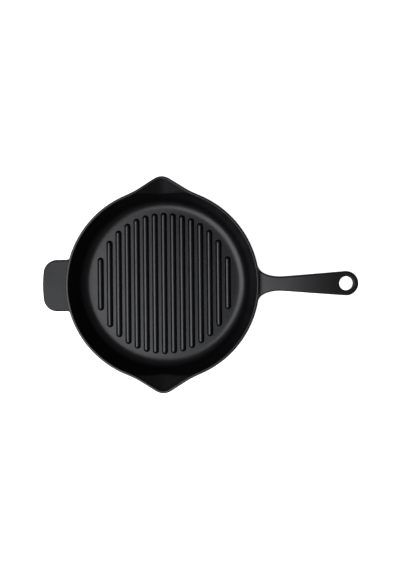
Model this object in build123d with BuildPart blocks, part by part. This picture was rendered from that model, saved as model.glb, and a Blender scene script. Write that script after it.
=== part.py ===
from build123d import *
import math
import os

os.makedirs("parts", exist_ok=True)

# A round grill pan of enamelled cast iron, cast in one piece. Its named regions are made as
# separate solids that meet face to face. Lengths are in millimetres and angles in degrees.
# The pan stands on its flat underside, centred on the Z axis. The long handle points along
# +X, and the two pouring lips along +Y and -Y.

quarter_turn = 90.0

# Sizes of the pan body
rim_diameter = 280.0  # over the outside of the rim
pan_height = 48.0  # underside to the top of the rim
rim_width = 4.0  # across the top of the rim
rim_band = 2.5  # upright band round the outside of the rim
rim_inner_band = 2.0  # upright band round the inside of the rim
rim_bevel = 1.1  # on both edges of the rim
floor_thickness = 4.5
wall_flare = 17.0  # lean of the wall from upright
floor_corner_radius = 16.0  # inside, between floor and wall
floor_band_count = 4  # flat bands that follow the inside corner's curve
base_corner_radius = 20.0  # outside, between underside and wall
base_band_count = 3  # flat bands that follow the outside corner's curve

# Sizes of the pouring lips
lip_reach = 16.6  # how far a lip's tip stands out past the round rim
lip_flank_angle = 32.2  # between a flank and the rim's tangent behind the tip
lip_tip_radius = 20.0  # outside, round the tip
lip_blend_radius = 60.0  # outside, where a flank runs into the round rim
chute_slope = 34.0  # rise of the chute's valley from level
lip_seam_margin = 4.0  # from the end of a blend to the lip's seam
chute_seam_margin = 4.0  # from the foot of a lip down to the lip's seam
inner_seam_margin = 4.0  # from the wall's inner face to the open side of the box that parts a lip

# Sizes of the grill ribs
rib_count = 15
rib_width = 7.8  # at the floor
rib_height = 5.0
rib_crest_radius = 2.6
rib_toe = 0.5  # upright foot of a rib's end, under its rounded nose
rib_end_inset = 5.1  # from the curve at the edge of the floor to the ribs' ends
outer_rib_length = 80.0  # the first and last rib, from end to end

# Sizes of the long handle
handle_length = 123.0  # from the rim to the centre of the handle's round end
handle_end_radius = 17.5
hanging_hole_diameter = 20.0
neck_length = 37.0  # from the rim to where the handle starts to widen evenly
neck_width = 21.0
root_angle = 15.0  # where the flared root meets the wall, seen from the pan's axis
root_opening = 30.0  # between the flare and the wall, seen from above
handle_root_step = 5.5  # from the foot of the rim's band down to the top of the root
handle_rise_angle = 17.0  # at the root
handle_straight_length = 8.0  # from the wall to where the handle starts to level out
handle_level_length = 17.0  # level stretch before the centre of the round end
handle_thickness = 8.0
handle_bevel = 1.6  # along the edges of the handle's top
handle_under_bevel = 0.9  # along the edges of its underside
hole_bevel = 1.2

# Sizes of the helper handle
tab_length = 33.0  # from the rim to the outer edge
tab_width = 74.0
tab_corner_radius = 20.0
tab_root_radius = 5.0  # beside the tab, where its sides run into the wall
tab_step = 0.5  # from the foot of the rim's band down to the top of the tab
tab_thickness = 7.0
tab_bevel = 1.6  # along the edges of the tab's top
tab_under_bevel = 1.6  # along the edges of its underside

# Shared by both handles
root_sink = 0.4  # the root's side edges start this far inside the wall's face, so that they grow out of it
root_overrun = 12.0  # both run on this far inside the wall before they are cut back to its face

# Worked out for the pan body
rim_radius = rim_diameter / 2
rim_inner_radius = rim_radius - rim_width
band_bottom = pan_height - rim_band
inner_band_bottom = pan_height - rim_inner_band
wall_lean = math.tan(math.radians(wall_flare))
base_sharp_radius = rim_radius - band_bottom * wall_lean
floor_sharp_radius = rim_inner_radius - (inner_band_bottom - floor_thickness) * wall_lean
corner_turn = quarter_turn - wall_flare
corner_turn_share = math.tan(math.radians(corner_turn / 2))
base_flat_radius = base_sharp_radius - base_corner_radius * corner_turn_share
floor_flat_radius = floor_sharp_radius - floor_corner_radius * corner_turn_share


def wall_radius(level):
    """Outer radius of the flared wall at a height."""
    return rim_radius - (band_bottom - level) * wall_lean


def polar(radius, angle):
    """Point in a plane at a radius and an angle in degrees."""
    return Vector(radius * math.cos(math.radians(angle)), radius * math.sin(math.radians(angle)))


# Worked out for the pouring lips
flank = math.radians(lip_flank_angle)
slope = math.radians(chute_slope)
chute_direction = (0, -math.cos(slope), -math.sin(slope))
chute_run_share = 1 / math.tan(slope)  # run of the valley for each unit of drop
lip_drop = lip_reach / (chute_run_share - wall_lean)  # from the rim to where a lip leaves the wall
lip_cut_share = 1.15  # the lips' sloping forms end this much further down, out of sight
lip_sweep = lip_drop * lip_cut_share / math.sin(slope)
lip_root_share = 0.8  # of the rim's radius, where a lip's outline is closed inside the pan


def lip_outline(inset, level):
    """Outline of one lip, seen from above, drawn in by a distance and placed at a height."""
    round_radius = rim_radius - inset
    tip_radius = lip_tip_radius - inset
    blend_radius = lip_blend_radius + inset
    tip_centre = rim_radius + lip_reach - lip_tip_radius
    flank_distance = tip_centre * math.cos(flank) + tip_radius
    blend_distance = flank_distance + blend_radius
    blend_slide = math.sqrt((round_radius + blend_radius) ** 2 - blend_distance ** 2)
    # The flank's normal and the flank's own direction, away from the tip
    normal = Vector(math.sin(flank), math.cos(flank))
    along = Vector(math.cos(flank), -math.sin(flank))
    blend_centre = normal * blend_distance - along * blend_slide
    tip_start = Vector(0, tip_centre) + normal * tip_radius
    flank_end = blend_centre - normal * blend_radius
    rim_start = blend_centre * (round_radius / (round_radius + blend_radius))
    blend_middle = blend_centre - (normal + rim_start.normalized()).normalized() * blend_radius
    root = Vector(rim_start.X, rim_radius * lip_root_share)
    with BuildSketch(Plane.XY.offset(level)) as outline:
        with BuildLine():
            ThreePointArc((0, tip_centre + tip_radius), Vector(0, tip_centre)
                          + Vector(math.sin(flank / 2), math.cos(flank / 2)) * tip_radius, tip_start)
            Line(tip_start, flank_end)
            ThreePointArc(flank_end, blend_middle, rim_start)
            Line(rim_start, root)
            Line(root, (0, root.Y))
            mirror(about=Plane.YZ)
        make_face()
    return outline.sketch, rim_start.X


outer_lip, lip_half_width = lip_outline(0, band_bottom)
rim_lip, _ = lip_outline(0, pan_height)
chute_mouth, _ = lip_outline(rim_width, pan_height)
inner_lip, _ = lip_outline(rim_width, inner_band_bottom)
lip_seam_x = lip_half_width + lip_seam_margin
lip_seam_z = band_bottom - lip_drop - chute_seam_margin
seam_wall_radius = rim_inner_radius - (inner_band_bottom - lip_seam_z) * wall_lean
lip_seam_y = math.sqrt(seam_wall_radius ** 2 - lip_seam_x ** 2) - inner_seam_margin


def corner_points(flat_radius, level, radius, count):
    """Points on the round corner between a flat and the flared wall, seen from the side."""
    centre = Vector(flat_radius, level + radius)
    return [centre + polar(radius, corner_turn * step / count - quarter_turn) for step in range(count + 1)]


# Outside and inside of the pan body, seen from the side, to be turned about the Z axis
with BuildSketch(Plane.XZ) as outside_profile:
    with BuildLine():
        Polyline((0, 0), *corner_points(base_flat_radius, 0, base_corner_radius, base_band_count),
                 (rim_radius, band_bottom), (rim_radius, pan_height), (0, pan_height), close=True)
    make_face()

with BuildSketch(Plane.XZ) as inside_profile:
    with BuildLine():
        Polyline((0, floor_thickness),
                 *corner_points(floor_flat_radius, floor_thickness, floor_corner_radius, floor_band_count),
                 (rim_inner_radius, inner_band_bottom), (rim_inner_radius, pan_height),
                 (0, pan_height), close=True)
    make_face()

# Everything that is hollow in the pan: its inside, and the mouth and chute of each lip
with BuildPart() as hollow:
    revolve(inside_profile.sketch, axis=Axis.Z)
    mouth = extrude(chute_mouth, amount=-rim_inner_band, mode=Mode.PRIVATE)
    add([mouth, mouth.rotate(Axis.Z, quarter_turn * 2)])
    chute = extrude(inner_lip, amount=lip_sweep, dir=chute_direction, mode=Mode.PRIVATE)
    add([chute, chute.rotate(Axis.Z, quarter_turn * 2)])

# The pan with its lips, before it is parted into its named regions
with BuildPart() as casting:
    revolve(outside_profile.sketch, axis=Axis.Z)
    lip_band = extrude(rim_lip, amount=-rim_band)
    mirror(lip_band, about=Plane.XZ)
    lip_prow = extrude(outer_lip, amount=lip_sweep, dir=chute_direction)
    mirror(lip_prow, about=Plane.XZ)
    add(hollow.part, mode=Mode.SUBTRACT)
    rim_top = casting.faces().sort_by(Axis.Z)[-1]
    chamfer(rim_top.edges(), rim_bevel)

# Worked out for the long handle
rise = math.radians(handle_rise_angle)
root_top = band_bottom - handle_root_step
handle_start_x = wall_radius(root_top) - root_sink + handle_straight_length * math.cos(rise)
handle_start_z = root_top + handle_straight_length * math.sin(rise)
handle_end_reach = rim_radius + handle_length
handle_level_reach = handle_end_reach - handle_level_length
handle_arc_radius = (handle_level_reach - handle_start_x) / math.sin(rise)
handle_arc_z = handle_start_z - handle_arc_radius * math.cos(rise)
handle_top = handle_arc_z + handle_arc_radius
handle_tip_reach = handle_end_reach + handle_end_radius

side_rise_share = 0.2  # the normal of a handle's side rises less than this


def is_outer_side(face):
    """True for an upright face that lies outside the pan's wall."""
    reach = math.hypot(face.center().X, face.center().Y)
    return abs(face.normal_at().Z) < side_rise_share and reach > rim_inner_radius


def bevel_edges(handle, facing, length):
    """Bevel a handle's outer edges, along its top where facing is 1 and its underside where it is -1."""
    side_edges = handle.faces().filter_by(is_outer_side).edges()
    level_faces = handle.faces().filter_by(lambda face: face.normal_at().Z * facing > side_rise_share)
    chamfer(level_faces.edges().filter_by(lambda edge: edge in side_edges), length)


# Outline of the long handle from above, with its flared root laid against the wall
root_flare_share = 0.222  # pull of the flare at the wall, of the distance from root to neck
neck_flare_share = 0.723  # pull of the flare at the neck, of the same distance
flare_root = polar(wall_radius(root_top) - root_sink, root_angle)
flare_inner_root = flare_root - polar(root_overrun, root_angle)
neck = Vector(rim_radius + neck_length, neck_width / 2)
flare_span = (neck - flare_root).length
handle_end = Vector(handle_end_reach, 0)
to_end = handle_end - neck
widening = math.atan2(to_end.Y, to_end.X) + math.asin(handle_end_radius / to_end.length)
root_pull = flare_root + polar(flare_span * root_flare_share, root_angle + root_opening - quarter_turn)
neck_pull = neck - Vector(math.cos(widening), math.sin(widening)) * flare_span * neck_flare_share
side_end = handle_end + Vector(-math.sin(widening), math.cos(widening)) * handle_end_radius
with BuildSketch(Plane.XY) as long_handle_outline:
    with BuildLine():
        Bezier(flare_root, root_pull, neck_pull, neck)
        Line(neck, side_end)
        ThreePointArc(side_end, handle_end + polar(handle_end_radius, quarter_turn / 2),
                      (handle_tip_reach, 0))
        Line(flare_root, flare_inner_root)
        mirror(about=Plane.XZ)
        Line(flare_inner_root, (flare_inner_root.X, -flare_inner_root.Y))
    make_face()

# The same handle from the side: it rises from the wall and levels out
with BuildSketch(Plane.XZ) as long_handle_side:
    with BuildLine():
        slope_back = handle_straight_length + root_overrun * 2
        upper_inner = (handle_start_x - slope_back * math.cos(rise),
                       handle_start_z - slope_back * math.sin(rise))
        arc_start = (handle_start_x, handle_start_z)
        arc_middle = (handle_level_reach - handle_arc_radius * math.sin(rise / 2),
                      handle_arc_z + handle_arc_radius * math.cos(rise / 2))
        Line(upper_inner, arc_start)
        ThreePointArc(arc_start, arc_middle, (handle_level_reach, handle_top))
        lower_radius = handle_arc_radius - handle_thickness
        lower_start = (handle_level_reach - lower_radius * math.sin(rise),
                       handle_arc_z + lower_radius * math.cos(rise))
        lower_middle = (handle_level_reach - lower_radius * math.sin(rise / 2),
                        handle_arc_z + lower_radius * math.cos(rise / 2))
        lower_inner = (lower_start[0] - slope_back * math.cos(rise),
                       lower_start[1] - slope_back * math.sin(rise))
        Polyline((handle_level_reach, handle_top), (handle_tip_reach + handle_end_radius, handle_top),
                 (handle_tip_reach + handle_end_radius, handle_top - handle_thickness),
                 (handle_level_reach, handle_top - handle_thickness))
        ThreePointArc((handle_level_reach, handle_top - handle_thickness), lower_middle, lower_start)
        Polyline(lower_start, lower_inner, upper_inner)
    make_face()

# Everything inside the wall's flared face, from which the handles are cut back
with BuildPart() as inside_wall:
    with BuildSketch(Plane.XZ):
        with BuildLine():
            Polyline((0, 0), (wall_radius(0), 0), (wall_radius(handle_top), handle_top),
                     (0, handle_top), close=True)
        make_face()
    revolve(axis=Axis.Z)

with BuildPart() as long_handle:
    extrude(long_handle_outline.sketch, amount=handle_top + handle_thickness)
    extrude(long_handle_side.sketch, amount=rim_radius, both=True, mode=Mode.INTERSECT)
    bevel_edges(long_handle, 1, handle_bevel)
    bevel_edges(long_handle, -1, handle_under_bevel)
    add(inside_wall.part, mode=Mode.SUBTRACT)
    with Locations((handle_end_reach, 0, handle_top)):
        Hole(hanging_hole_diameter / 2)
    hole_walls = long_handle.faces().filter_by(GeomType.CYLINDER)
    hole_wall = hole_walls.sort_by_distance((handle_end_reach, 0, handle_top))[0]
    chamfer(hole_wall.edges().filter_by(GeomType.CIRCLE), hole_bevel)
    long_handle.part.label = "long_handle"

# Outline of the helper handle from above, with its rounded roots laid against the wall
tab_top = band_bottom - tab_step
tab_reach = rim_radius + tab_length
tab_half_width = tab_width / 2
tab_wall_radius = wall_radius(tab_top) - root_sink
tab_root_y = tab_half_width + tab_root_radius
tab_root_centre = Vector(-math.sqrt((tab_wall_radius + tab_root_radius) ** 2 - tab_root_y ** 2), tab_root_y)
tab_root = tab_root_centre * (tab_wall_radius / (tab_wall_radius + tab_root_radius))
tab_inner_root = tab_root * ((tab_wall_radius - root_overrun) / tab_wall_radius)
tab_root_turn = (tab_root_centre.normalized() + Vector(0, 1)).normalized()
tab_corner_y = tab_half_width - tab_corner_radius
tab_corner_reach = tab_reach - tab_corner_radius
tab_corner = Vector(-math.sqrt(tab_corner_reach ** 2 - tab_corner_y ** 2), tab_corner_y)
tab_corner_end = tab_corner * (tab_reach / tab_corner_reach)
tab_corner_turn = (tab_corner.normalized() + Vector(0, 1)).normalized()
with BuildSketch(Plane.XY.offset(tab_top)) as helper_handle_outline:
    with BuildLine():
        Line(tab_inner_root, tab_root)
        ThreePointArc(tab_root, tab_root_centre - tab_root_turn * tab_root_radius,
                      (tab_root_centre.X, tab_half_width))
        Line((tab_root_centre.X, tab_half_width), (tab_corner.X, tab_half_width))
        ThreePointArc((tab_corner.X, tab_half_width), tab_corner + tab_corner_turn * tab_corner_radius,
                      tab_corner_end)
        mirror(about=Plane.XZ)
        ThreePointArc(tab_corner_end, (-tab_reach, 0), (tab_corner_end.X, -tab_corner_end.Y))
        Line(tab_inner_root, (tab_inner_root.X, -tab_inner_root.Y))
    make_face()

with BuildPart() as helper_handle:
    extrude(helper_handle_outline.sketch, amount=-tab_thickness)
    bevel_edges(helper_handle, 1, tab_bevel)
    bevel_edges(helper_handle, -1, tab_under_bevel)
    add(inside_wall.part, mode=Mode.SUBTRACT)
    helper_handle.part.label = "helper_handle"

# The pan body keeps everything but the two stretches of wall that hold the lips
lip_box_centre_y = (lip_seam_y + rim_radius + lip_reach * 2) / 2
lip_box_depth = rim_radius + lip_reach * 2 - lip_seam_y

with BuildPart() as pan_body:
    add(casting.part)
    with BuildSketch(Plane.XY.offset(lip_seam_z)):
        with Locations((0, lip_box_centre_y), (0, -lip_box_centre_y)):
            Rectangle(lip_seam_x * 2, lip_box_depth)
    extrude(amount=pan_height, mode=Mode.SUBTRACT)
    pan_body.part.label = "pan_body"

with BuildPart() as back_pouring_lip:
    add(casting.part)
    with BuildSketch(Plane.XY.offset(lip_seam_z)):
        with Locations((0, lip_box_centre_y)):
            Rectangle(lip_seam_x * 2, lip_box_depth)
    extrude(amount=pan_height, mode=Mode.INTERSECT)
    back_pouring_lip.part.label = "back_pouring_lip"

with BuildPart() as front_pouring_lip:
    mirror(back_pouring_lip.part, about=Plane.XZ)
    front_pouring_lip.part.label = "front_pouring_lip"

for region in (pan_body, back_pouring_lip, front_pouring_lip, long_handle, helper_handle):
    export_step(region.part, f"parts/{region.part.label}.step")

# Worked out for the grill ribs
rib_centre_radius = floor_flat_radius - rib_end_inset - rib_width / 2
outer_rib_x = math.sqrt(rib_centre_radius ** 2 - ((outer_rib_length - rib_width) / 2) ** 2)
rib_pitch = outer_rib_x * 2 / (rib_count - 1)
crest_centre = rib_height - rib_crest_radius
foot_to_crest = math.hypot(rib_width / 2, crest_centre)
flank_turn = math.asin(rib_crest_radius / foot_to_crest) + math.atan2(crest_centre, rib_width / 2)
crest_start_x = rib_crest_radius * math.sin(flank_turn)
crest_start_z = crest_centre + rib_crest_radius * math.cos(flank_turn)

for number in range(rib_count):
    rib_x = number * rib_pitch - outer_rib_x
    rib_reach = math.sqrt(rib_centre_radius ** 2 - rib_x ** 2) + rib_width / 2
    with BuildPart() as grill_rib:
        # Leaning flanks under a round crest, run from end to end
        end_plane = Plane(origin=(rib_x, rib_reach, floor_thickness), x_dir=(1, 0, 0), z_dir=(0, -1, 0))
        with BuildSketch(end_plane):
            with BuildLine():
                Line((-rib_width / 2, 0), (rib_width / 2, 0))
                Line((rib_width / 2, 0), (crest_start_x, crest_start_z))
                ThreePointArc((crest_start_x, crest_start_z), (0, rib_height),
                              (-crest_start_x, crest_start_z))
                Line((-crest_start_x, crest_start_z), (-rib_width / 2, 0))
            make_face()
        extrude(amount=rib_reach * 2)
        # Ends rounded from above, then from the side
        with BuildSketch(Plane.XY.offset(floor_thickness)):
            with Locations((rib_x, 0)):
                SlotOverall(rib_reach * 2, rib_width, rotation=quarter_turn)
        extrude(amount=rib_height, mode=Mode.INTERSECT)
        with BuildSketch(Plane.YZ.offset(rib_x)) as rib_side:
            with Locations((0, floor_thickness)):
                Rectangle(rib_reach * 2, rib_height, align=(Align.CENTER, Align.MIN))
            fillet(rib_side.vertices().group_by(Axis.Y)[-1], rib_height - rib_toe)
        extrude(amount=rib_width / 2, both=True, mode=Mode.INTERSECT)
    grill_rib.part.label = f"grill_rib_{number + 1:02d}"
    export_step(grill_rib.part, f"parts/{grill_rib.part.label}.step")
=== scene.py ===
import math

import bpy
import numpy as np
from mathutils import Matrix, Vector


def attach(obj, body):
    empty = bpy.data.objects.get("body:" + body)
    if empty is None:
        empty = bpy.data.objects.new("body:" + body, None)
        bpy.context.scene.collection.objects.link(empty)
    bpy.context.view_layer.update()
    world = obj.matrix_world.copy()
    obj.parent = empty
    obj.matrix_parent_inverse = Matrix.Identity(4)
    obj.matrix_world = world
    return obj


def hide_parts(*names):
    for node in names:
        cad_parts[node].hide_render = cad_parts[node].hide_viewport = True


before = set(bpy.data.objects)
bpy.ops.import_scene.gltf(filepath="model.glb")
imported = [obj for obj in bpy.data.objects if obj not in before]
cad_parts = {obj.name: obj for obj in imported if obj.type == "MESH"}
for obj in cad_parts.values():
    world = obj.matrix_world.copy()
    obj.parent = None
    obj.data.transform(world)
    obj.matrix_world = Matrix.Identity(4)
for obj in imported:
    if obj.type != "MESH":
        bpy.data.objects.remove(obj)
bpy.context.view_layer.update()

# Sizes of the casting, in metres and radians. The pan stands on the floor, centred on the Z axis,
# with the long handle along +X and the pouring lips along +Y and -Y.
quarter_turn = math.pi / 2
rim_radius = 0.140
pan_height = 0.048
rim_width = 0.004
rim_band = 0.0025
rim_rounding = 0.0013
floor_thickness = 0.0045
wall_flare = math.radians(17.0)
floor_corner = 0.016
base_corner = 0.020

lip_reach = 0.0169
lip_tip_radius = 0.020
lip_foot = 0.024  # nothing below this height is drawn out into a lip
flank_angle = math.radians(32.2)
chute_slope = math.radians(34.0)
lip_blend = 0.0033  # at the rim
chute_blend = 0.0015  # from the blend drop under the rim's band on
blend_drop = 0.008

rib_count = 15
rib_pitch = 0.0137
rib_half_width = 0.0046
rib_height = 0.005
rib_crown_half_width = 0.0016
rib_crown_radius = 0.0042
rib_shoulder_radius = 0.0006
rib_root_fillet = 0.0003
rib_end_circle = 0.1022  # the centres of the ribs' round ends lie on it
rib_sink = 0.0004  # of the ribs' feet into the floor
rib_crown_shares = (0.33, 0.67, 1.0)  # of the crown's half width, where its points lie
rib_top_share = 0.25  # of the height, over which a rib's enamel turns glossier and lighter towards the crest, the lighter tone being painted sheen

handle_end_reach = 0.263
handle_end_radius = 0.0176
hanging_hole_radius = 0.010
neck_reach = 0.177
neck_half_width = 0.0109
root_angle = math.radians(15.5)
root_flare = 0.0163
neck_flare = 0.0303
handle_rise = math.radians(17.0)
handle_root_top = 0.040
handle_straight = 0.008
handle_level_reach = 0.246
handle_thickness = 0.008
handle_rounding = 0.0028
hole_rounding = 0.0016
handle_top_fillet = 0.0035
handle_under_fillet = 0.012
handle_inner_run = 0.02  # its outline runs on this far inside the wall

tab_reach = 0.1739
tab_half_width = 0.0375
tab_corner = 0.020
tab_root = 0.005
tab_top = 0.045
tab_thickness = 0.007
tab_rounding = 0.0026
tab_top_fillet = 0.0006
tab_under_fillet = 0.009
tab_inner_reach = 0.11  # its outline is closed this far from the pan's axis
tab_inner_inset = 0.001  # and is about this much narrower there on each side than at its roots

# Both handles, measured inwards from the wall's outside face
wall_sink = 0.0004  # where their outlines start
wall_gap = 0.00004  # where their fillets run out
wall_seat = 0.0022  # where their skins are closed
fillet_reach_share = 1.02  # of the fillet's radius, how far from the handle its skin goes on

wall_lean = math.tan(wall_flare)
band_bottom = pan_height - rim_band

# How finely the pieces are meshed
vessel_columns = 504
vessel_corner_steps = 9
vessel_spacing = 0.0012
vessel_most_cuts = 26.0
rib_end_steps = 20
rib_corner_steps = 6
weld_distance = 2e-6
flare_steps = 60
handle_end_steps = 48
tab_root_steps = 16
tab_corner_steps = 28
tab_side_steps = 24

# The handles' skins: the boxes that they are made in, the grid's step, and how they settle on the form
handle_box = (0.119, -0.058, 0.012), (0.2820, 0.058, 0.0586)
tab_box = (-0.1757, -0.062, 0.016), (-0.110, 0.062, 0.0470)
skin_step = 0.0009
settling_rounds = 4
drawing_rounds = 3
nudge = skin_step * 0.05  # to either side, for a form's slope
most_move = skin_step * 0.3  # of a point in one round
least_slope_squared = 0.25
barely_inside = -1e-9
far_off = 1e9
tiny = 1e-18
edge_inset = 0.001  # from the outline to the middle of the glossier, lighter band along it, the lighter tone being painted sheen
edge_spread = 0.0012

# The photograph looks straight down from this height over the rim. The camera stands over a point between
# the pan's middle and its long handle, a little to the back, and its lens is shifted so that the pan keeps
# its place. At the level of the rim the picture is this high.
camera_height = 0.89
camera_x = 0.0544
camera_y = 0.040
camera_turn = math.radians(-0.56)
camera_shift = -0.0497
frame_height = 0.8215
sensor = 24.0

# One large soft light on the helper handle's side, a dim room and a pale table. The camera sees the room
# and the table white, and mirroring pieces see a smaller share of that.
softbox_place = (-0.67, -0.30, 1.30)
softbox_aim = (0.0, 0.0, 0.0)
softbox_width = 1.38
softbox_depth = 1.30
softbox_power = 30.0
softbox_tint = (0.94, 0.95, 1.0)
room_light = 0.12
room_camera_glow = 0.88
room_mirrored_glow = 0.03
table_tone = 0.86
table_roughness = 0.9
table_camera_glow = 0.95
table_mirrored_glow = 0.3
table_reach = 6.0
table_gap = 0.0002  # from the pan's underside down to the table

# The enamel's relief, in layers: share of the grain's scale, roughness of the noise, share of the height
relief_layers = ((1.0, 0.45, 0.55), (3.1, 0.6, 0.25), (0.12, 0.4, 0.9))
relief_detail = 2.0
relief_strength = 0.6
enamel_ior = 1.5

# The enamel's drift: scale, detail and roughness of each noise, then how they move tone and roughness
slow_noise = (22.0, 4.0, 0.55)
speck_noise = (1500.0, 2.0, 0.6)
wear_and_sheen_noise = (260.0, 4.0, 0.65)
noise_middle = 0.5
slow_tone = 0.7
speck_tone = 0.8
slow_roughness = 0.16
speck_roughness = 0.1
wear_and_sheen_gain = 1.6
wear_and_sheen_threshold = 0.3
worn_roughness = 0.06

# Each finish has its colours, roughness and sheen, and its grain's scale and its depth in metres. The
# second colour is a painted sheen, lighter than the base, laid in patches along rims, crests and edges
finishes = {
    "black_enamel": {"base": (0.0018, 0.0018, 0.0022), "wear_and_sheen_tone": (0.004, 0.004, 0.0045),
                     "roughness": 0.345, "sheen": 0.33, "grain": 620.0, "depth": 0.00009},
    "rib_enamel": {"base": (0.0018, 0.0018, 0.0022), "wear_and_sheen_tone": (0.005, 0.005, 0.0055),
                   "roughness": 0.33, "sheen": 0.35, "grain": 700.0, "depth": 0.00007},
    "grip_enamel": {"base": (0.002, 0.002, 0.0024), "wear_and_sheen_tone": (0.004, 0.004, 0.0045),
                    "roughness": 0.46, "sheen": 0.33, "grain": 560.0, "depth": 0.00010},
    "tab_enamel": {"base": (0.002, 0.002, 0.0024), "wear_and_sheen_tone": (0.004, 0.004, 0.0045),
                   "roughness": 0.44, "sheen": 0.23, "grain": 560.0, "depth": 0.00010},
}


def place_camera():
    camera = bpy.data.cameras.new("overhead_camera")
    camera.sensor_fit = "VERTICAL"
    camera.sensor_height = sensor
    camera.lens = sensor * camera_height / frame_height
    camera.shift_y = camera_shift
    holder = bpy.data.objects.new("overhead_camera", camera)
    holder.location = (camera_x, camera_y, pan_height + camera_height)
    holder.rotation_euler = (0, 0, camera_turn)
    bpy.context.scene.collection.objects.link(holder)
    bpy.context.scene.camera = holder


class Number:
    """A number inside a node tree, so that node sums read like ordinary sums."""

    def __init__(self, tree, socket):
        self.tree = tree
        self.socket = socket

    def step(self, operation, *others):
        node = self.tree.nodes.new("ShaderNodeMath")
        node.operation = operation
        for slot, value in zip(node.inputs, (self, *others)):
            if isinstance(value, Number):
                self.tree.links.new(value.socket, slot)
            else:
                slot.default_value = value
        return Number(self.tree, node.outputs[0])

    def __add__(self, other):
        return self.step("ADD", other)

    def __sub__(self, other):
        return self.step("SUBTRACT", other)

    def __mul__(self, other):
        return self.step("MULTIPLY", other)

    def __truediv__(self, other):
        return self.step("DIVIDE", other)

    def __neg__(self):
        return self.step("MULTIPLY", -1.0)

    def most(self, other):
        return self.step("MAXIMUM", other)

    def least(self, other):
        return self.step("MINIMUM", other)


def put(tree, node, name, value):
    """Link a value into a node's named input, or set it there."""
    slot = next(s for s in node.inputs if s.name == name and s.enabled)
    if isinstance(value, Number):
        tree.links.new(value.socket, slot)
    elif isinstance(value, bpy.types.NodeSocket):
        tree.links.new(value, slot)
    else:
        slot.default_value = value


def node_of(tree, kind, settings=None, **values):
    """New node with its settings and inputs; an underscore in an input's name stands for a space."""
    node = tree.nodes.new(kind)
    for key, value in (settings or {}).items():
        setattr(node, key, value)
    for name, value in values.items():
        put(tree, node, name.replace("_", " "), value)
    return node


def vector_of(tree, x, y, z):
    node = tree.nodes.new("ShaderNodeCombineXYZ")
    for name, value in zip("XYZ", (x, y, z)):
        put(tree, node, name, value)
    return node.outputs[0]


def parts_of(tree, socket):
    node = node_of(tree, "ShaderNodeSeparateXYZ", Vector=socket)
    return [Number(tree, node.outputs[axis]) for axis in "XYZ"]


def tree_with(name, sizes):
    """New geometry tree with a named input for each size and one for its material."""
    tree = bpy.data.node_groups.new(name, "GeometryNodeTree")
    tree.is_modifier = True
    for label, value in sizes.items():
        kind = "NodeSocketInt" if isinstance(value, int) else "NodeSocketFloat"
        tree.interface.new_socket(name=label, in_out="INPUT", socket_type=kind)
    tree.interface.new_socket(name="Finish", in_out="INPUT", socket_type="NodeSocketMaterial")
    tree.interface.new_socket(name="Geometry", in_out="OUTPUT", socket_type="NodeSocketGeometry")
    group_in = tree.nodes.new("NodeGroupInput")
    size = {label: Number(tree, group_in.outputs[label]) for label in sizes}
    return tree, size, group_in.outputs["Finish"]


def profile_curve(tree, points, radii, steps):
    """Curve in the XZ plane through the points, with its corners rounded by the radii."""
    index = tree.nodes.new("GeometryNodeInputIndex").outputs[0]
    places = node_of(tree, "GeometryNodeIndexSwitch", {"data_type": "VECTOR"}, Index=index)
    rounds = node_of(tree, "GeometryNodeIndexSwitch", {"data_type": "FLOAT"}, Index=index)
    for switch, values in ((places, points), (rounds, radii)):
        while len(switch.index_switch_items) < len(points):
            switch.index_switch_items.new()
        for number, value in enumerate(values):
            if switch is places:
                value = vector_of(tree, value[0], 0.0, value[1])
            put(tree, switch, str(number), value)
    line = node_of(tree, "GeometryNodeMeshLine", Count=len(points))
    placed = node_of(tree, "GeometryNodeSetPosition", Geometry=line.outputs[0],
                     Position=places.outputs[0])
    curve = node_of(tree, "GeometryNodeMeshToCurve", Mesh=placed.outputs[0])
    rounded = node_of(tree, "GeometryNodeFilletCurve", {"mode": "POLY"}, Curve=curve.outputs[0],
                      Count=steps, Radius=rounds.outputs[0], Limit_Radius=True)
    return rounded.outputs[0]


def divide_long_runs(tree, curve, spacing, most_cuts):
    """Add points along the straight runs of a curve."""
    position = tree.nodes.new("GeometryNodeInputPosition").outputs[0]
    index = Number(tree, tree.nodes.new("GeometryNodeInputIndex").outputs[0])
    following = node_of(tree, "GeometryNodeFieldAtIndex",
                        {"data_type": "FLOAT_VECTOR", "domain": "POINT"},
                        Index=index + 1.0, Value=position)
    run = tree.nodes.new("ShaderNodeVectorMath")
    run.operation = "DISTANCE"
    tree.links.new(position, run.inputs[0])
    tree.links.new(following.outputs[0], run.inputs[1])
    cuts = (Number(tree, run.outputs["Value"]) / spacing).step("FLOOR").least(most_cuts)
    divided = node_of(tree, "GeometryNodeSubdivideCurve", Curve=curve, Cuts=cuts)
    return divided.outputs[0]


def wrapped_grid(tree, curve, columns):
    """Grid with a row for each point of the curve: its mesh, the column's number, the curve's x and z."""
    amount = node_of(tree, "GeometryNodeAttributeDomainSize", {"component": "CURVE"}, Geometry=curve)
    rows = Number(tree, amount.outputs["Point Count"])
    grid = node_of(tree, "GeometryNodeMeshGrid", Vertices_X=columns, Vertices_Y=rows)
    index = Number(tree, tree.nodes.new("GeometryNodeInputIndex").outputs[0])
    row = index.step("MODULO", rows)
    column = ((index - row) / rows).step("ROUND")
    position = tree.nodes.new("GeometryNodeInputPosition").outputs[0]
    sample = node_of(tree, "GeometryNodeSampleIndex",
                     {"data_type": "FLOAT_VECTOR", "domain": "POINT"},
                     Geometry=curve, Value=position, Index=row)
    across, _, level = parts_of(tree, sample.outputs[0])
    return grid.outputs["Mesh"], column, across, level


def stored(tree, geometry, name, value, domain="POINT"):
    node = node_of(tree, "GeometryNodeStoreNamedAttribute", {"data_type": "FLOAT", "domain": domain},
                   Geometry=geometry, Name=name, Value=value)
    return node.outputs[0]


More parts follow.
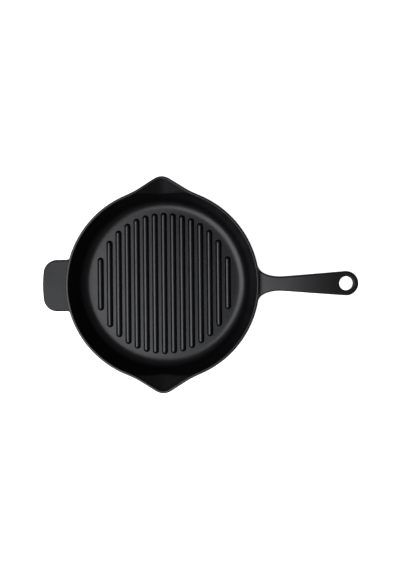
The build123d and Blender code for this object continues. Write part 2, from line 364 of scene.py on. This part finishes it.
def finish_tree(tree, geometry, finish):
    """Close the seams, shade smooth, make real and give the finish."""
    merged = node_of(tree, "GeometryNodeMergeByDistance", Geometry=geometry, Distance=weld_distance)
    smooth = node_of(tree, "GeometryNodeSetShadeSmooth", Geometry=merged.outputs[0])
    real = node_of(tree, "GeometryNodeRealizeInstances", Geometry=smooth.outputs[0])
    coated = node_of(tree, "GeometryNodeSetMaterial", Geometry=real.outputs[0], Material=finish)
    group_out = tree.nodes.new("NodeGroupOutput")
    tree.links.new(coated.outputs[0], group_out.inputs["Geometry"])


def made_by(tree, name, sizes, finish):
    """Plain mesh object from a geometry tree."""
    former = bpy.data.objects.new(name + "_former", bpy.data.meshes.new(name + "_former"))
    bpy.context.scene.collection.objects.link(former)
    modifier = former.modifiers.new("shape", "NODES")
    modifier.node_group = tree
    for item in tree.interface.items_tree:
        if item.in_out == "INPUT":
            modifier[item.identifier] = finish if item.name == "Finish" else sizes[item.name]
    former.update_tag()
    bpy.context.view_layer.update()
    shown = former.evaluated_get(bpy.context.evaluated_depsgraph_get())
    mesh = bpy.data.meshes.new_from_object(shown)
    former.modifiers.remove(modifier)
    bpy.data.objects.remove(former)
    mesh.name = name
    piece = bpy.data.objects.new(name, mesh)
    bpy.context.scene.collection.objects.link(piece)
    return piece


vessel_sizes = {
    "Rim Radius": rim_radius, "Height": pan_height, "Rim Width": rim_width, "Rim Band": rim_band,
    "Rim Rounding": rim_rounding, "Floor Thickness": floor_thickness, "Wall Lean": wall_lean,
    "Floor Corner": floor_corner, "Base Corner": base_corner, "Lip Reach": lip_reach,
    "Lip Tip Radius": lip_tip_radius, "Lip Foot": lip_foot, "Flank Angle": flank_angle,
    "Chute Run": 1 / math.tan(chute_slope), "Lip Blend": lip_blend, "Chute Blend": chute_blend,
    "Blend Drop": blend_drop, "Columns": vessel_columns, "Corner Steps": vessel_corner_steps,
    "Spacing": vessel_spacing, "Most Cuts": vessel_most_cuts,
}


def vessel_tree():
    """Section of floor, wall and rim turned about the axis, then drawn out into the two lips."""
    tree, size, finish = tree_with("pan_vessel", vessel_sizes)
    radius, height, width = size["Rim Radius"], size["Height"], size["Rim Width"]
    lean, band = size["Wall Lean"], size["Rim Band"]
    foot = height - band
    floor = size["Floor Thickness"]
    rounding = size["Rim Rounding"]
    inner = radius - width
    points = [(0.0, 0.0), (radius - foot * lean, 0.0), (radius, foot), (radius, height),
              (inner, height), (inner, foot), (inner - (foot - floor) * lean, floor), (0.0, floor)]
    radii = [0.0, size["Base Corner"], band, rounding, rounding, band, size["Floor Corner"], 0.0]
    curve = profile_curve(tree, points, radii, size["Corner Steps"])
    curve = divide_long_runs(tree, curve, size["Spacing"], size["Most Cuts"])
    columns = size["Columns"]
    mesh, column, across, level = wrapped_grid(tree, curve, columns + 1.0)
    turn = column * (2 * math.pi) / columns
    x = across * turn.step("COSINE")
    y = across * turn.step("SINE")

    # A lip's outline at this level: flanks that meet in a rounded tip, drawn in as the chute drops
    flank = size["Flank Angle"]
    slope = flank.step("TANGENT")
    drop = (foot - level).most(0.0)
    wall = radius - drop * lean
    inset = (wall - across).most(0.0).least(width)
    run = drop * size["Chute Run"]
    tip_radius = size["Lip Tip Radius"]
    tip_centre = radius + size["Lip Reach"] - tip_radius
    apex_start = tip_centre + tip_radius / flank.step("COSINE")
    apex = apex_start - inset / flank.step("COSINE") - run
    tip = tip_centre + tip_radius - inset - run
    rounded_half = (apex - tip) * 2.0 / slope
    aside = x.step("ABSOLUTE")
    near = aside.least(rounded_half)
    eased = aside - near + near * near / (rounded_half * 2.0) + rounded_half / 2.0
    lip_y = apex - eased * slope
    narrowed = (drop / size["Blend Drop"]).least(1.0)
    blend = size["Lip Blend"] - (size["Lip Blend"] - size["Chute Blend"]) * narrowed
    out_y = y.step("ABSOLUTE")
    overlap = (blend - (out_y - lip_y).step("ABSOLUTE")).most(0.0)
    drawn = out_y.most(lip_y) + overlap * overlap / (blend * 4.0)
    high_enough = level.step("GREATER_THAN", size["Lip Foot"])
    on_lip = high_enough * (across * flank.step("SINE")).step("GREATER_THAN", aside)
    new_y = (out_y + (drawn - out_y) * on_lip) * y.step("SIGN")
    placed = node_of(tree, "GeometryNodeSetPosition", Geometry=mesh,
                     Position=vector_of(tree, x, new_y, level))
    # The rim's rounding is marked for the lighter edge tone, a painted sheen
    edge = ((level - (height - rounding)) / rounding).most(0.0).least(1.0)
    finish_tree(tree, stored(tree, placed.outputs[0], "edge", edge), finish)
    return tree


rib_sizes = {
    "Ribs": rib_count, "Pitch": rib_pitch, "Half Width": rib_half_width, "Height": rib_height,
    "Crown Half Width": rib_crown_half_width, "Crown Radius": rib_crown_radius,
    "Shoulder Radius": rib_shoulder_radius, "Root Fillet": rib_root_fillet, "End Circle": rib_end_circle,
    "Floor": floor_thickness, "Sink": rib_sink, "End Steps": rib_end_steps,
    "Corner Steps": rib_corner_steps,
}


def rib_tree():
    """One round-ended rib, set out at the pitch, each as long as the circle of rib ends allows."""
    tree, size, finish = tree_with("grill_ribs", rib_sizes)
    half, height, fillet = size["Half Width"], size["Height"], size["Root Fillet"]
    # A gently domed crown, a rounded shoulder, then a steep flank down to the floor
    crown, dome = size["Crown Half Width"], size["Crown Radius"]
    points = [(0.0, height)]
    points += [(crown * share, height - crown * crown * share ** 2 / (dome * 2.0))
               for share in rib_crown_shares]
    shoulder_x = crown + size["Shoulder Radius"]
    shoulder_z = height - crown * crown / (dome * 2.0) - (shoulder_x - crown) * crown / dome
    points += [(shoulder_x, shoulder_z), (half, 0.0), (half + fillet, 0.0),
               (half + fillet, -size["Sink"]), (0.0, -size["Sink"])]
    radii = [0.0] * (1 + len(rib_crown_shares)) + [size["Shoulder Radius"], fillet, 0.0, 0.0, 0.0]
    curve = profile_curve(tree, points, radii, size["Corner Steps"])
    steps = size["End Steps"]
    mesh, column, across, level = wrapped_grid(tree, curve, steps * 2.0 + 3.0)
    # The two columns beside each joint of the ends share an angle but go to opposite ends
    second = column.step("GREATER_THAN", steps)
    third = column.step("GREATER_THAN", steps * 2.0 + 1.0)
    turn = (column - second - third) * math.pi / steps
    far_end = (third - second) * 2.0 + 1.0
    place = vector_of(tree, across * turn.step("COSINE"), across * turn.step("SINE"), level)
    placed = node_of(tree, "GeometryNodeSetPosition", Geometry=mesh, Position=place)
    flipped = node_of(tree, "GeometryNodeFlipFaces", Mesh=placed.outputs[0])
    pill = stored(tree, flipped.outputs[0], "far_end", far_end)
    # The top of each rib is marked for the lighter edge tone, a painted sheen on the crest
    top_parts = 1 / rib_top_share
    edge = ((level / height) * top_parts - (top_parts - 1)).most(0.0).least(1.0)
    pill = stored(tree, pill, "edge", edge)

    first_x = (size["Ribs"] - 1.0) * size["Pitch"] / -2.0
    row = node_of(tree, "GeometryNodeMeshLine", Count=size["Ribs"],
                  Start_Location=vector_of(tree, first_x, 0.0, size["Floor"]),
                  Offset=vector_of(tree, size["Pitch"], 0.0, 0.0))
    ribs = node_of(tree, "GeometryNodeInstanceOnPoints", Points=row.outputs[0], Instance=pill)
    rib_x = parts_of(tree, tree.nodes.new("GeometryNodeInputPosition").outputs[0])[0]
    reach = (size["End Circle"] * size["End Circle"] - rib_x * rib_x).step("SQRT")
    ribs = stored(tree, ribs.outputs[0], "reach", reach, "INSTANCE")
    real = node_of(tree, "GeometryNodeRealizeInstances", Geometry=ribs)
    end_sign = node_of(tree, "GeometryNodeInputNamedAttribute", {"data_type": "FLOAT"}, Name="far_end")
    end_reach = node_of(tree, "GeometryNodeInputNamedAttribute", {"data_type": "FLOAT"}, Name="reach")
    pull = Number(tree, end_sign.outputs[0]) * Number(tree, end_reach.outputs[0])
    drawn = node_of(tree, "GeometryNodeSetPosition", Geometry=real.outputs[0],
                    Offset=vector_of(tree, 0.0, pull, 0.0))
    finish_tree(tree, drawn.outputs[0], finish)
    return tree


def both_sides(upper):
    """Closed outline from its upper half, which runs from the wall to the tip on the X axis."""
    lower = [(x, -y) for x, y in reversed(upper) if y > 0]
    return np.array(upper + lower)


def arc(centre, radius, start, end, steps):
    angles = np.linspace(start, end, steps)
    return [(centre[0] + radius * math.cos(a), centre[1] + radius * math.sin(a)) for a in angles]


def wall_radius(level):
    return rim_radius - np.maximum(band_bottom - level, 0) * wall_lean


def long_handle_outline():
    """Flared root, waisted neck, widening grip and round end."""
    root_radius = float(wall_radius(handle_root_top - handle_thickness / 2)) - wall_sink
    root = Vector((root_radius * math.cos(root_angle), root_radius * math.sin(root_angle)))
    pull = root + Vector((math.sin(root_angle), -math.cos(root_angle))) * root_flare
    neck = Vector((neck_reach, neck_half_width))
    to_end = Vector((handle_end_reach, 0)) - neck
    widening = math.atan2(to_end.y, to_end.x) + math.asin(handle_end_radius / to_end.length)
    neck_pull = neck - Vector((math.cos(widening), math.sin(widening))) * neck_flare
    flare = []
    for t in np.linspace(0, 1, flare_steps):
        near_root = root * (1 - t) ** 3 + pull * (3 * t * (1 - t) ** 2)
        point = near_root + neck_pull * (3 * t ** 2 * (1 - t)) + neck * t ** 3
        flare.append((point.x, point.y))
    end = arc((handle_end_reach, 0), handle_end_radius, quarter_turn + widening, 0, handle_end_steps)
    inside = (root.x - handle_inner_run, root.y)
    return both_sides([inside] + flare + end)


def tab_outline():
    """Short broad tab with rounded corners and rounded roots. Its tip is on -X."""
    root_radius = float(wall_radius(tab_top - tab_thickness / 2)) - wall_sink
    root_y = tab_half_width + tab_root
    root_x = math.sqrt((root_radius + tab_root) ** 2 - root_y ** 2)
    root_turn = math.atan2(root_y, root_x)
    corner_y = tab_half_width - tab_corner
    corner_x = math.sqrt((tab_reach - tab_corner) ** 2 - corner_y ** 2)
    corner_turn = math.atan2(corner_y, corner_x)
    inside = (tab_inner_reach, (root_radius - tab_inner_inset) * math.sin(root_turn))
    upper = [inside]
    upper += arc((root_x, root_y), tab_root, math.pi + root_turn, 3 * quarter_turn, tab_root_steps)
    upper += arc((corner_x, corner_y), tab_corner, quarter_turn, corner_turn, tab_corner_steps)
    upper += arc((0, 0), tab_reach, corner_turn, 0, tab_side_steps)[1:]
    return both_sides(upper) * (-1, 1)


def outline_distance(outline, x, y):
    """Signed distance in plan from a closed outline, less than zero inside it."""
    nearest = np.full(x.shape, far_off)
    crossings = np.zeros(x.shape, int)
    for (ax, ay), (bx, by) in zip(outline, np.roll(outline, -1, axis=0)):
        dx, dy = bx - ax, by - ay
        share = np.clip(((x - ax) * dx + (y - ay) * dy) / (dx * dx + dy * dy + tiny), 0, 1)
        nearest = np.minimum(nearest, np.hypot(x - ax - share * dx, y - ay - share * dy))
        spans = (ay > y) != (by > y)
        crossings += spans & (x < ax + (y - ay) * dx / (dy if dy else tiny))
    return np.where(crossings % 2 == 1, -nearest, nearest)


def rounded_meeting(a, b, radius):
    """Inside both forms, with the edge between them rounded."""
    rounded = np.hypot(np.maximum(a + radius, 0), np.maximum(b + radius, 0))
    return np.minimum(np.maximum(a, b), -radius) + rounded


def filleted_join(a, b, radius):
    """Inside either form, with a hollow fillet where they meet."""
    hollow = np.hypot(np.maximum(radius - a, 0), np.maximum(radius - b, 0))
    return np.maximum(radius, np.minimum(a, b)) - hollow


def grown_from_wall(body, x, y, z, above, under, middle, thickness):
    """The body run into the pan's wall by fillets, and cut off a little way inside the wall's face."""
    wall = (np.hypot(x, y) - wall_radius(z)) * math.cos(wall_flare)
    share = np.clip((z - middle) / thickness + 0.5, 0, 1)
    share = share * share * (3 - 2 * share)
    fillet = under + (above - under) * share
    joined = filleted_join(body, wall + wall_gap, fillet)
    joined = np.maximum(joined, -(wall + wall_seat))
    return np.maximum(joined, body - fillet * fillet_reach_share)


handle_plan = long_handle_outline()
tab_plan = tab_outline()


def handle_middle(x):
    """Height of the long handle's middle, which rises straight and levels out, and its uprightness."""
    start_x = float(wall_radius(handle_root_top)) - wall_sink + handle_straight * math.cos(handle_rise)
    start_z = handle_root_top + handle_straight * math.sin(handle_rise)
    bend = (handle_level_reach - start_x) / math.sin(handle_rise)
    level = start_z - bend * math.cos(handle_rise) + bend
    along = np.clip(x, start_x, handle_level_reach)
    on_bend = np.sqrt(np.maximum(bend ** 2 - (along - handle_level_reach) ** 2, 0))
    top = level - bend + on_bend
    before = np.minimum(x - start_x, 0) * math.tan(handle_rise)
    upright = np.cos(np.arcsin(np.clip((handle_level_reach - along) / bend, -1, 1)))
    return top + before - handle_thickness / 2 / upright, upright


def long_handle_form(x, y, z):
    plan = outline_distance(handle_plan, x, y)
    middle, upright = handle_middle(x)
    across = np.abs(z - middle) * upright - handle_thickness / 2
    body = rounded_meeting(plan, across, handle_rounding)
    hole = hanging_hole_radius - np.hypot(x - handle_end_reach, y)
    body = rounded_meeting(body, hole, hole_rounding)
    return grown_from_wall(body, x, y, z, handle_top_fillet, handle_under_fillet, middle,
                           handle_thickness)


def tab_form(x, y, z):
    plan = outline_distance(tab_plan, x, y)
    middle = tab_top - tab_thickness / 2
    across = np.abs(z - middle) - tab_thickness / 2
    body = rounded_meeting(plan, across, tab_rounding)
    return grown_from_wall(body, x, y, z, tab_top_fillet, tab_under_fillet, middle, tab_thickness)


def window(axes, shifts, cells):
    """Index of a grid's values that lie shifted along some axes, one for each cell there."""
    index = [slice(None)] * 3
    for axis, shift in zip(axes, shifts):
        index[axis] = slice(shift, cells[axis] + shift)
    return tuple(index)


def settle_corners(value, cells):
    """Let no square of the grid be inside at two opposite corners alone, so that the skin stays closed."""
    for pair in ((0, 1), (0, 2), (1, 2)):
        corners = [value[window(pair, shifts, cells)] for shifts in ((0, 0), (1, 1), (0, 1), (1, 0))]
        near, far, side, other_side = [corner < 0 for corner in corners]
        crossed = (near == far) & (side == other_side) & (near != side)
        corners[2][crossed & near] = barely_inside
        corners[0][crossed & ~near] = barely_inside


def cell_points(value, grid, cells):
    """A point in each cell that the surface runs through, the cells' numbers, and the crossed edges."""
    inside = value < 0
    total = np.zeros(cells + (3,))
    count = np.zeros(cells)
    crossings = []
    for axis in range(3):
        head = window((axis,), (0,), cells)
        tail = window((axis,), (1,), cells)
        a, b = value[head], value[tail]
        crossed = inside[head] != inside[tail]
        share = np.where(crossed, a / np.where(crossed, a - b, 1), 0)
        point = np.stack([places[head] for places in grid], axis=-1)
        point[..., axis] += share * skin_step
        others = [n for n in range(3) if n != axis]
        for shifts in ((0, 0), (0, 1), (1, 0), (1, 1)):
            beside = window(others, shifts, cells)
            total += point[beside] * crossed[beside][..., None]
            count += crossed[beside]
        crossings.append((others, np.argwhere(crossed), inside[head][crossed] ^ (axis == 1)))
    used = count > 0
    number = np.full(cells, -1)
    number[used] = np.arange(used.sum())
    return total[used] / count[used][:, None], number, crossings


def drawn_onto(form, points):
    """The points moved onto the surface where the form's distance is zero."""
    for _ in range(drawing_rounds):
        slope = np.stack([(form(*(points + side).T) - form(*(points - side).T)) / (2 * nudge)
                          for side in np.eye(3) * nudge], axis=-1)
        length = np.maximum((slope ** 2).sum(axis=1), least_slope_squared)
        move = slope * (form(*points.T) / length)[:, None]
        too_far = np.maximum(np.abs(move).max(axis=1) / most_move, 1)
        points = points - move / too_far[:, None]
    return points


def skin_quads(number, crossings, cells):
    """A face round each crossed edge, turned outwards."""
    quads = []
    for (a, b), places, turned in crossings:
        along_a, along_b = places[:, a], places[:, b]
        within = (along_a > 0) & (along_b > 0) & (along_a < cells[a]) & (along_b < cells[b])
        places, turned = places[within], turned[within]
        ring = []
        for back_a, back_b in ((1, 1), (0, 1), (0, 0), (1, 0)):
            cell = places.copy()
            cell[:, a] -= back_a
            cell[:, b] -= back_b
            ring.append(number[tuple(cell.T)])
        ring = np.stack(ring, axis=1)
        quads.append(np.where(turned[:, None], ring, ring[:, ::-1]))
    return np.concatenate(quads)


def skin_of(name, form, low, high):
    """Closed mesh on the surface where a form's distance is zero."""
    axes = [np.arange(a, b + skin_step, skin_step) for a, b in zip(low, high)]
    grid = np.meshgrid(*axes, indexing="ij")
    value = form(*grid)
    cells = tuple(n - 1 for n in value.shape)
    for _ in range(settling_rounds):
        settle_corners(value, cells)
    points, number, crossings = cell_points(value, grid, cells)
    points = drawn_onto(form, points)
    mesh = bpy.data.meshes.new(name)
    mesh.from_pydata(points.tolist(), [], skin_quads(number, crossings, cells).tolist())
    mesh.validate()
    mesh.polygons.foreach_set("use_smooth", [True] * len(mesh.polygons))
    mesh.update()
    piece = bpy.data.objects.new(name, mesh)
    bpy.context.scene.collection.objects.link(piece)
    return piece


def mark_edges(piece, plan):
    """Store how near each point lies to the rounded edge along the outline."""
    places = np.zeros(len(piece.data.vertices) * 3)
    piece.data.vertices.foreach_get("co", places)
    x, y, _ = places.reshape(-1, 3).T
    # Near the outline the enamel is marked for the lighter edge tone, a painted sheen
    near = np.exp(-((outline_distance(plan, x, y) + edge_inset) / edge_spread) ** 2)
    attribute = piece.data.attributes.new("edge", "FLOAT", "POINT")
    attribute.data.foreach_set("value", near.astype(np.float32))


def group_with(name, inputs, outputs):
    """New shader node group with named inputs and outputs."""
    group = bpy.data.node_groups.new(name, "ShaderNodeTree")
    for label, kind, value in inputs:
        socket = group.interface.new_socket(name=label, in_out="INPUT", socket_type=kind)
        socket.default_value = value
    for label, kind in outputs:
        group.interface.new_socket(name=label, in_out="OUTPUT", socket_type=kind)
    return group, group.nodes.new("NodeGroupInput"), group.nodes.new("NodeGroupOutput")


def noise(tree, place, scale, detail, roughness):
    node = node_of(tree, "ShaderNodeTexNoise", Vector=place, Scale=scale, Detail=detail,
                   Roughness=roughness)
    return Number(tree, node.outputs["Fac"])


def pebbled_group():
    """Fine orange-peel relief of fired enamel over sand-cast iron."""
    group, inside, outside = group_with(
        "pebbled_enamel", [("Grain", "NodeSocketFloat", 620.0)], [("Height", "NodeSocketFloat")])
    place = group.nodes.new("ShaderNodeTexCoord").outputs["Object"]
    grain = Number(group, inside.outputs["Grain"])
    coarse, fine, swell = [noise(group, place, grain * scale_share, relief_detail, roughness) * height_share
                           for scale_share, roughness, height_share in relief_layers]
    put(group, outside, "Height", coarse + fine + swell)
    return group


def drift_group():
    """Slow drift of tone and sheen over the enamel, and along edges patches of glossier enamel with a
    lighter tone that is painted sheen.
    """
    group, inside, outside = group_with(
        "enamel_drift",
        [("Base", "NodeSocketColor", (0.01, 0.01, 0.01, 1)),
         ("Edge Tone", "NodeSocketColor", (0.03, 0.03, 0.03, 1)),
         ("Roughness", "NodeSocketFloat", 0.45), ("Edge", "NodeSocketFloat", 0.0)],
        [("Color", "NodeSocketColor"), ("Roughness", "NodeSocketFloat")])
    place = group.nodes.new("ShaderNodeTexCoord").outputs["Object"]
    slow = noise(group, place, *slow_noise) - noise_middle
    speck = noise(group, place, *speck_noise) - noise_middle
    wear_and_sheen_pattern = noise(group, place, *wear_and_sheen_noise) * wear_and_sheen_gain - wear_and_sheen_threshold
    # Along edges, in patches, the colour is lifted towards a lighter tone, which is painted sheen, and the
    # roughness is lowered
    wear_and_sheen = (Number(group, inside.outputs["Edge"]) * wear_and_sheen_pattern).most(0.0).least(1.0)
    tone = slow * slow_tone + speck * speck_tone + 1.0
    toned = node_of(group, "ShaderNodeVectorMath", {"operation": "SCALE"},
                    Vector=inside.outputs["Base"], Scale=tone)
    mix = node_of(group, "ShaderNodeMix", {"data_type": "RGBA"},
                  Factor=wear_and_sheen, A=toned.outputs[0], B=inside.outputs["Edge Tone"])
    put(group, outside, "Color", next(socket for socket in mix.outputs if socket.enabled))
    roughness = Number(group, inside.outputs["Roughness"])
    put(group, outside, "Roughness",
        roughness + slow * slow_roughness + speck * speck_roughness - wear_and_sheen * worn_roughness)
    return group


def enamel(name, groups, base, wear_and_sheen_tone, roughness, sheen, grain, depth):
    """Black enamel, its own tone and grain set on the shared groups."""
    pebbled, drift = groups
    material = bpy.data.materials.new(name)
    material.use_nodes = True
    tree = material.node_tree
    edge = node_of(tree, "ShaderNodeAttribute", {"attribute_name": "edge"})
    tone = node_of(tree, "ShaderNodeGroup", {"node_tree": drift}, Base=(*base, 1),
                   Edge_Tone=(*wear_and_sheen_tone, 1), Roughness=roughness, Edge=edge.outputs["Fac"])
    relief = node_of(tree, "ShaderNodeGroup", {"node_tree": pebbled}, Grain=grain)
    bump = node_of(tree, "ShaderNodeBump", Strength=relief_strength, Distance=depth,
                   Height=relief.outputs["Height"])
    shader = tree.nodes["Principled BSDF"]
    put(tree, shader, "Base Color", tone.outputs["Color"])
    put(tree, shader, "Roughness", tone.outputs["Roughness"])
    put(tree, shader, "Normal", bump.outputs["Normal"])
    put(tree, shader, "IOR", enamel_ior)
    put(tree, shader, "Specular IOR Level", sheen)
    return material


def seated(piece, *nodes):
    """Let a piece stand for its nodes on the pan's one body."""
    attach(piece, "root")
    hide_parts(*nodes)


def glow_by_ray(tree, camera_glow, mirrored_glow):
    """A glow that the camera sees, and another that shows in mirroring and clear pieces."""
    rays = tree.nodes.new("ShaderNodeLightPath")
    camera, clear, glossy = [Number(tree, rays.outputs[label]) for label in
                             ("Is Camera Ray", "Is Transmission Ray", "Is Glossy Ray")]
    return camera * camera_glow + (clear + glossy) * mirrored_glow


def table_top():
    """Plain pale floor that shows white to the camera."""
    mesh = bpy.data.meshes.new("table_top")
    corners = [(x * table_reach, y * table_reach, -table_gap)
               for x, y in ((-1, -1), (1, -1), (1, 1), (-1, 1))]
    mesh.from_pydata(corners, [], [(0, 1, 2, 3)])
    floor = bpy.data.objects.new("table_top", mesh)
    bpy.context.scene.collection.objects.link(floor)
    material = bpy.data.materials.new("pale_table")
    material.use_nodes = True
    tree = material.node_tree
    shader = tree.nodes["Principled BSDF"]
    put(tree, shader, "Base Color", (table_tone, table_tone, table_tone, 1))
    put(tree, shader, "Roughness", table_roughness)
    put(tree, shader, "Specular IOR Level", 0.0)
    seen = glow_by_ray(tree, table_camera_glow, table_mirrored_glow)
    glow = node_of(tree, "ShaderNodeEmission", Color=(1, 1, 1, 1), Strength=seen)
    total = tree.nodes.new("ShaderNodeAddShader")
    tree.links.new(shader.outputs[0], total.inputs[0])
    tree.links.new(glow.outputs[0], total.inputs[1])
    tree.links.new(total.outputs[0], tree.nodes["Material Output"].inputs["Surface"])
    mesh.materials.append(material)


def studio_world():
    """Plain dim room that shows white to the camera."""
    world = bpy.data.worlds.new("studio")
    world.use_nodes = True
    bpy.context.scene.world = world
    tree = world.node_tree
    background = tree.nodes["Background"]
    put(tree, background, "Color", (1.0, 1.0, 1.0, 1))
    seen = glow_by_ray(tree, room_camera_glow, room_mirrored_glow)
    put(tree, background, "Strength", seen + room_light)


def softbox():
    """The one large soft light."""
    light = bpy.data.lights.new("softbox_over_helper_handle", "AREA")
    light.shape = "RECTANGLE"
    light.size = softbox_width
    light.size_y = softbox_depth
    light.energy = softbox_power
    light.color = softbox_tint
    holder = bpy.data.objects.new("softbox_over_helper_handle", light)
    holder.location = softbox_place
    towards = Vector(softbox_aim) - Vector(softbox_place)
    holder.rotation_euler = towards.to_track_quat("-Z", "Y").to_euler()
    holder.visible_camera = False
    bpy.context.scene.collection.objects.link(holder)


place_camera()
bpy.context.scene.view_settings.view_transform = "Standard"
studio_world()
table_top()
softbox()

groups = (pebbled_group(), drift_group())
coats = {name: enamel(name, groups, **look) for name, look in finishes.items()}

rib_nodes = [f"grill_rib_{number:02d}" for number in range(1, rib_count + 1)]
vessel = made_by(vessel_tree(), "pan_vessel", vessel_sizes, coats["black_enamel"])
seated(vessel, "pan_body", "front_pouring_lip", "back_pouring_lip")
ribs = made_by(rib_tree(), "grill_ribs", rib_sizes, coats["rib_enamel"])
seated(ribs, *rib_nodes)

long_grip = skin_of("long_handle_skin", long_handle_form, *handle_box)
mark_edges(long_grip, handle_plan)
long_grip.data.materials.append(coats["grip_enamel"])
seated(long_grip, "long_handle")

helper = skin_of("helper_handle_skin", tab_form, *tab_box)
mark_edges(helper, tab_plan)
helper.data.materials.append(coats["tab_enamel"])
seated(helper, "helper_handle")
